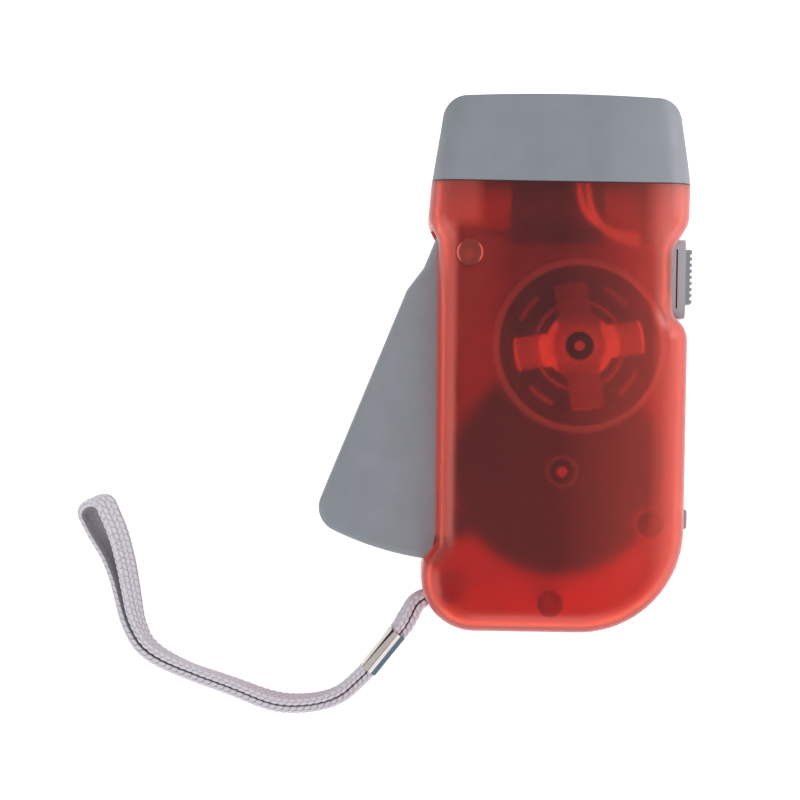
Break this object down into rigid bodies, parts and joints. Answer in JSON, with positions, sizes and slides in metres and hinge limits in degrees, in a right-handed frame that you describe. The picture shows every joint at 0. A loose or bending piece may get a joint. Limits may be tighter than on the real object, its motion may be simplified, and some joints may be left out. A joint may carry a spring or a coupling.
{
  "type": "squeeze dynamo flashlight",
  "caption": "Hand-squeezed dynamo torch: clear rounded body showing its lever, gears and generator, grey lamp head, slide switch, side lock and flat braided wrist strap.",
  "frame": {"origin": "centre of the body's flat back, on the surface it lies on", "axes": "+Z out of the front shell, +Y towards the lamp, +X towards the switch"},
  "size_m": [0.1197, 0.1228, 0.032],
  "materials": {
    "clear_red": "clear red moulding, polished",
    "grey_plastic": "fine satin",
    "pale_grey_plastic": "fine satin",
    "clear_lens": "polished",
    "bright_reflector": "vacuum plated",
    "lamp_epoxy": "clear",
    "board": "solder resist",
    "steel": "bright",
    "plated_steel": "nickel plated",
    "sleeve_film": "shrunk film",
    "black_plastic": "moulded",
    "gear_nylon": "moulded",
    "white_nylon": "moulded",
    "wire_cover": "extruded",
    "pinion_brass": "turned",
    "ferrite": "sintered",
    "copper_wire": "enamelled copper",
    "braid": "woven",
    "crimp_metal": "bright plated"
  },
  "bodies": {
    "housing": {"front_shell": "clear_red", "back_shell": "clear_red", "head_shell": "grey_plastic", "lens": "clear_lens", "reflector": "bright_reflector", "led_board": "board", "leds": "lamp_epoxy", "battery_cells": "plated_steel", "battery_sleeve": "sleeve_film", "battery_tabs": "plated_steel", "switch_body": "steel", "switch_plate": "pale_grey_plastic", "circuit_board": "board", "capacitor": "black_plastic", "rectifier": "black_plastic", "lamp_wires": "wire_cover", "return_spring": "steel", "wheel_shaft": "steel", "rotor_shaft": "steel", "shaft_washers": "steel", "upper_claws": "plated_steel", "lower_claws": "plated_steel", "stator_core": "steel", "coil_bobbin": "black_plastic", "coil_winding": "copper_wire", "housing_screws": "steel", "strap_eye": "braid", "strap": "braid", "strap_crimp": "crimp_metal"},
    "lever": {"squeeze_lever": "grey_plastic", "arc_rack": "gear_nylon"},
    "pinion": {"drive_pinion": "white_nylon"},
    "wheel": {"gear_wheel": "gear_nylon", "ratchet_pawls": "steel"},
    "rotor": {"rotor_cup": "black_plastic", "rotor_pinion": "pinion_brass", "ring_magnet": "ferrite"},
    "switch": {"switch_knob": "grey_plastic"},
    "lock": {"lock_slider": "grey_plastic"}
  },
  "joints": [
    {"name": "lever_squeeze", "type": "hinge", "parent": "housing", "child": "lever", "pos_m": [-0.0176, 0.0215, 0], "axis": [0, 0, 1], "range_deg": [0, 21.7], "stiffness_Nm_per_rad": 0.15, "springref_deg": -20.05, "deforming": ["return_spring"]},
    {"name": "drive_pinion_turn", "type": "hinge", "parent": "housing", "child": "pinion", "pos_m": [0.00092, -0.02061, 0], "axis": [0, 0, 1], "range_deg": [-1, 231], "deforming": ["ratchet_pawls"]},
    {"name": "wheel_spin", "type": "hinge", "parent": "housing", "child": "wheel", "pos_m": [0.00092, -0.02061, 0], "axis": [0, 0, 1], "continuous": true},
    {"name": "rotor_spin", "type": "hinge", "parent": "housing", "child": "rotor", "pos_m": [0.00392, 0.00381, 0], "axis": [0, 0, 1], "continuous": true},
    {"name": "switch_slide", "type": "slide", "parent": "housing", "child": "switch", "axis": [0, -1, 0], "range_m": [0, 0.0022]},
    {"name": "lock_slide", "type": "slide", "parent": "housing", "child": "lock", "axis": [0, 1, 0], "range_m": [0, 0.003]}
  ],
  "couplings": [
    {"joint": "drive_pinion_turn", "follows": "lever_squeeze", "ratio": 10.583},
    {"joint": "wheel_spin", "follows": "rotor_spin", "ratio": -0.17143}
  ]
}
